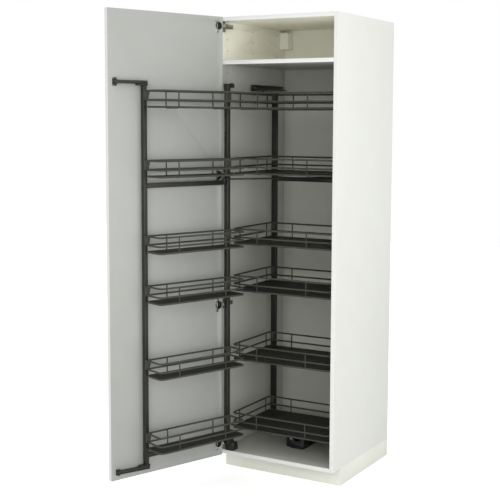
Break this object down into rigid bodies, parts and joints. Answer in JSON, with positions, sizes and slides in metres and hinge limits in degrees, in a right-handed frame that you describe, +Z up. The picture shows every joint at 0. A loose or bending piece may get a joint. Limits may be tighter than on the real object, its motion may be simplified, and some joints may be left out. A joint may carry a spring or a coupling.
{
  "type": "pull out larder unit",
  "caption": "Tall larder cabinet whose door swings out a frame of shallow wire baskets while a second frame of deep wire baskets slides forward inside.",
  "frame": {"origin": "on the floor, under the middle of the plinth's front board", "axes": "+X to the cabinet's right as seen from the front, +Y to its back, +Z up; the door is open, as pictured"},
  "size_m": [0.7849, 1.1784, 2.08],
  "materials": {
    "board": "white melamine-faced board, fine matt grain",
    "inner_board": "white melamine-faced board, matt",
    "door_front": "light grey lacquered board, satin",
    "hinge_steel": "bright nickel-plated steel",
    "frame_paint": "anthracite powder coat, fine texture",
    "inner_frame_paint": "anthracite powder coat, fine texture",
    "black_fitting": "black moulded plastic, matt",
    "leg_plastic": "black moulded plastic, matt",
    "cover_plastic": "white moulded plastic, satin"
  },
  "bodies": {
    "carcass": {"side_panel_left": "board", "side_panel_right": "board", "bottom_panel": "inner_board", "top_panel": "inner_board", "fixed_shelf": "inner_board", "back_panel": "inner_board", "plinth_front": "board", "plinth_side_left": "board", "plinth_side_right": "board", "leg_front_left": "leg_plastic", "leg_front_right": "leg_plastic", "leg_back_left": "leg_plastic", "leg_back_right": "leg_plastic", "suspension_cover_left": "cover_plastic", "suspension_cover_right": "cover_plastic", "pivot_block": "black_fitting", "pivot_bracket_top": "black_fitting", "upper_guide": "black_fitting", "floor_slide": "black_fitting", "slide_housing": "black_fitting", "slide_damper_pin": "hinge_steel", "hinge_arm_1": "hinge_steel", "hinge_arm_2": "hinge_steel", "hinge_arm_3": "hinge_steel", "hinge_arm_4": "hinge_steel"},
    "door": {"door_panel": "door_front", "hinge_cup_1": "hinge_steel", "hinge_cup_2": "hinge_steel", "hinge_cup_3": "hinge_steel", "hinge_cup_4": "hinge_steel", "arm_bracket_top": "frame_paint", "arm_bracket_bottom": "frame_paint"},
    "hinge_links": {"hinge_link_1": "hinge_steel", "hinge_link_2": "hinge_steel", "hinge_link_3": "hinge_steel", "hinge_link_4": "hinge_steel"},
    "door_arms": {"guide_arm_top": "frame_paint", "guide_arm_bottom": "frame_paint"},
    "door_frame": {"rear_post": "frame_paint", "front_post": "frame_paint", "crossbar_middle": "frame_paint", "crossbar_bottom": "frame_paint", "door_basket_1": "frame_paint", "door_basket_2": "frame_paint", "door_basket_3": "frame_paint", "door_basket_4": "frame_paint", "door_basket_5": "frame_paint", "door_basket_6": "frame_paint"},
    "inner_frame": {"inner_post_left": "inner_frame_paint", "inner_post_right": "inner_frame_paint", "inner_beam_middle": "inner_frame_paint", "inner_beam_bottom": "inner_frame_paint", "slide_carriage": "black_fitting", "inner_basket_1": "inner_frame_paint", "inner_basket_2": "inner_frame_paint", "inner_basket_3": "inner_frame_paint", "inner_basket_4": "inner_frame_paint", "inner_basket_5": "inner_frame_paint", "inner_basket_6": "inner_frame_paint"},
    "drive_rod": {"drive_rod": "inner_frame_paint"}
  },
  "joints": [
    {"name": "door_swing", "type": "hinge", "parent": "carcass", "child": "door", "pos_m": [-0.284, -0.111, 1.08], "axis": [0, 0, 1], "range_deg": [0, 110.45]},
    {"name": "hinge_link_turn", "type": "hinge", "parent": "carcass", "child": "hinge_links", "pos_m": [-0.284, -0.111, 1.08], "axis": [0, 0, 1], "range_deg": [0, 35.1]},
    {"name": "guide_arm_turn", "type": "hinge", "parent": "door", "child": "door_arms", "pos_m": [-0.44705, -0.63986, 1.08], "axis": [0, 0, 1], "range_deg": [-34.5, 0]},
    {"name": "door_frame_swing", "type": "hinge", "parent": "carcass", "child": "door_frame", "pos_m": [-0.234, -0.07, 1.08], "axis": [0, 0, 1], "range_deg": [0, 110.45]},
    {"name": "inner_frame_slide", "type": "slide", "parent": "carcass", "child": "inner_frame", "axis": [0, 1, 0], "range_m": [0, 0.1602]},
    {"name": "drive_rod_turn", "type": "hinge", "parent": "door_frame", "child": "drive_rod", "pos_m": [-0.22347, -0.1488, 1.359], "axis": [0, 0, 1], "range_deg": [-103.3, 0]}
  ],
  "couplings": [
    {"joint": "hinge_link_turn", "follows": "door_swing", "ratio": 0.317},
    {"joint": "guide_arm_turn", "follows": "door_swing", "ratio": -0.3115},
    {"joint": "door_frame_swing", "follows": "door_swing", "ratio": 1},
    {"joint": "inner_frame_slide", "follows": "door_swing", "m_per_rad": 0.083},
    {"joint": "drive_rod_turn", "follows": "door_swing", "ratio": -0.934}
  ]
}
